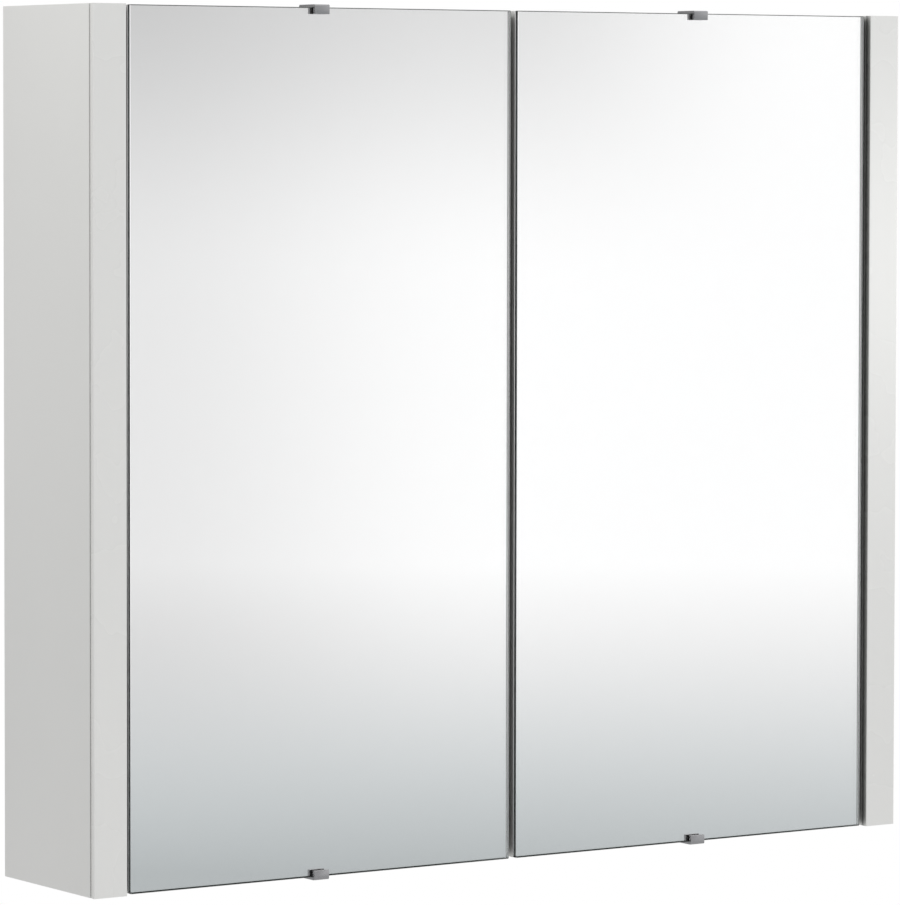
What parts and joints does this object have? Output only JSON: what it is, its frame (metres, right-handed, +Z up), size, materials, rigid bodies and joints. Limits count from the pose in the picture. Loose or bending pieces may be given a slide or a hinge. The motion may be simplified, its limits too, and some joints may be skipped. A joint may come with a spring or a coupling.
{
  "type": "mirror cabinet",
  "caption": "Wall-hung bathroom cabinet: white carcass, glass shelves, and two full-height inset mirror doors on concealed hinges.",
  "frame": {"origin": "centre of the four wall-fixing holes, on the wall plane behind the cabinet", "axes": "+Z up, +Y into the wall, the mirror doors face -Y, +X to the right as a person faces the mirrors"},
  "size_m": [0.74, 0.135, 0.6534],
  "materials": {
    "white_board": "white melamine-faced particle board",
    "white_edging": "white gloss edging strip",
    "back_board": "white lacquered hardboard",
    "door_board": "white melamine-faced particle board",
    "mirror_glass": "silvered float glass with ground edges",
    "shelf_glass": "clear float glass, polished edges",
    "nickel_plate": "nickel-plated pressed steel",
    "nickel_clip": "dark nickel-plated strip",
    "steel_fastener": "zinc-plated steel",
    "zinc_casting": "die-cast zinc, dull",
    "white_plastic": "moulded white plastic",
    "beech_dowel": "fluted beech dowel",
    "clear_rubber": "clear soft buffer"
  },
  "bodies": {
    "carcass": {"left_gable": "white_board", "right_gable": "white_board", "left_front_edging": "white_edging", "right_front_edging": "white_edging", "top_panel": "white_board", "bottom_panel": "white_board", "back_panel": "back_board", "upper_mounting_rail": "white_board", "lower_mounting_rail": "white_board", "fixing_washers": "steel_fastener", "upper_shelf": "shelf_glass", "lower_shelf": "shelf_glass", "shelf_supports": "nickel_plate", "cam_locks": "zinc_casting", "cam_bolts": "steel_fastener", "cam_caps": "white_plastic", "dowels": "beech_dowel", "door_buffers": "clear_rubber", "left_upper_mounting_plate": "nickel_plate", "left_lower_mounting_plate": "nickel_plate", "right_upper_mounting_plate": "nickel_plate", "right_lower_mounting_plate": "nickel_plate", "left_upper_hinge_arm": "nickel_plate", "left_lower_hinge_arm": "nickel_plate", "right_upper_hinge_arm": "nickel_plate", "right_lower_hinge_arm": "nickel_plate", "plate_screws": "steel_fastener", "arm_screws": "steel_fastener"},
    "left_door": {"left_door_board": "door_board", "left_mirror": "mirror_glass", "left_top_clip": "nickel_clip", "left_bottom_clip": "nickel_clip", "left_clip_screws": "steel_fastener", "left_upper_hinge_cup": "nickel_plate", "left_lower_hinge_cup": "nickel_plate", "left_hinge_pins": "steel_fastener", "left_cup_screws": "steel_fastener"},
    "right_door": {"right_door_board": "door_board", "right_mirror": "mirror_glass", "right_top_clip": "nickel_clip", "right_bottom_clip": "nickel_clip", "right_clip_screws": "steel_fastener", "right_upper_hinge_cup": "nickel_plate", "right_lower_hinge_cup": "nickel_plate", "right_hinge_pins": "steel_fastener", "right_cup_screws": "steel_fastener"}
  },
  "joints": [
    {"name": "left_door_swing", "type": "hinge", "parent": "carcass", "child": "left_door", "pos_m": [-0.3275, -0.1224, 0], "axis": [0, 0, -1], "range_deg": [0, 95]},
    {"name": "right_door_swing", "type": "hinge", "parent": "carcass", "child": "right_door", "pos_m": [0.3275, -0.1224, 0], "axis": [0, 0, 1], "range_deg": [0, 95]}
  ]
}
